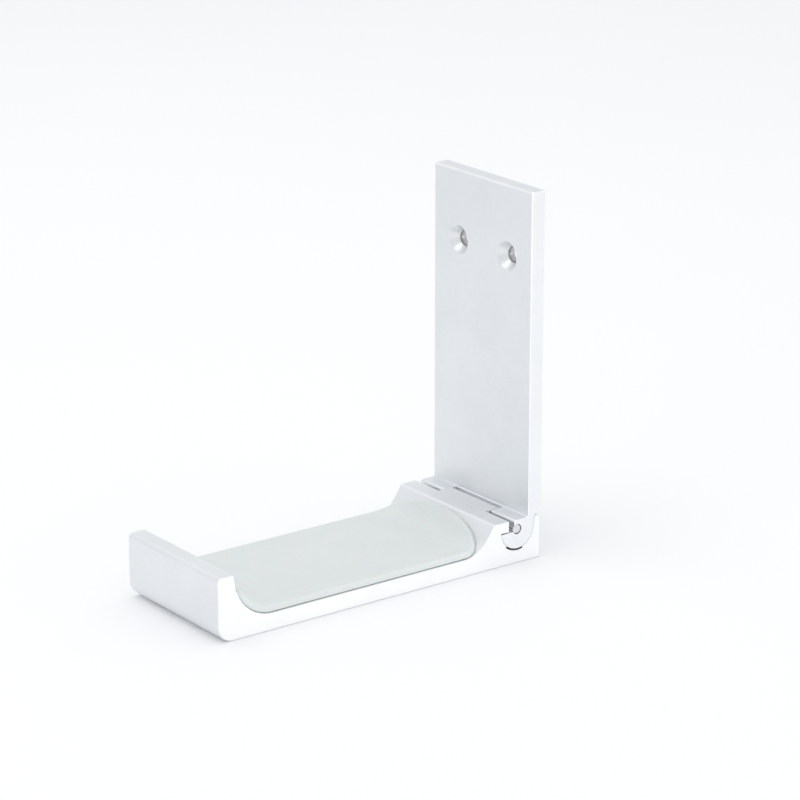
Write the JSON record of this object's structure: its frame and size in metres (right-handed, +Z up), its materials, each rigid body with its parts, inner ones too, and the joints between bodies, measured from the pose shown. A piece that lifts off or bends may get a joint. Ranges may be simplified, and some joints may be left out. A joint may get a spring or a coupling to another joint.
{
  "type": "folding headphone hook",
  "caption": "Wall plate with a fold-up hook arm: a padded saddle with an upturned lip carries a headset's headband.",
  "frame": {"origin": "on the wall face of the plate, midway between its two screw holes", "axes": "+Y into the wall, -Y out along the arm into the room, +Z up, +X to the right seen from the room"},
  "size_m": [0.038, 0.0959, 0.0934],
  "materials": {
    "wall_plate": "bead-blasted, clear anodised",
    "hook_arm": "bead-blasted, clear anodised",
    "hinge_pin": "ground stainless steel",
    "friction_washer": "spring steel",
    "hinge_bush_left": "moulded acetal",
    "hinge_bush_right": "moulded acetal",
    "pad_adhesive": "double-sided foam film",
    "saddle_pad": "matte silicone"
  },
  "bodies": {
    "wall_plate": {"wall_plate": "wall_plate", "hinge_pin": "hinge_pin", "friction_washer": "friction_washer"},
    "hook_arm": {"hook_arm": "hook_arm", "hinge_bush_left": "hinge_bush_left", "hinge_bush_right": "hinge_bush_right", "pad_adhesive": "pad_adhesive", "saddle_pad": "saddle_pad"}
  },
  "joints": [
    {"name": "fold_hinge", "type": "hinge", "parent": "wall_plate", "child": "hook_arm", "pos_m": [0, -0.0074, -0.0669], "axis": [-1, 0, 0], "range_deg": [0, 87]}
  ]
}
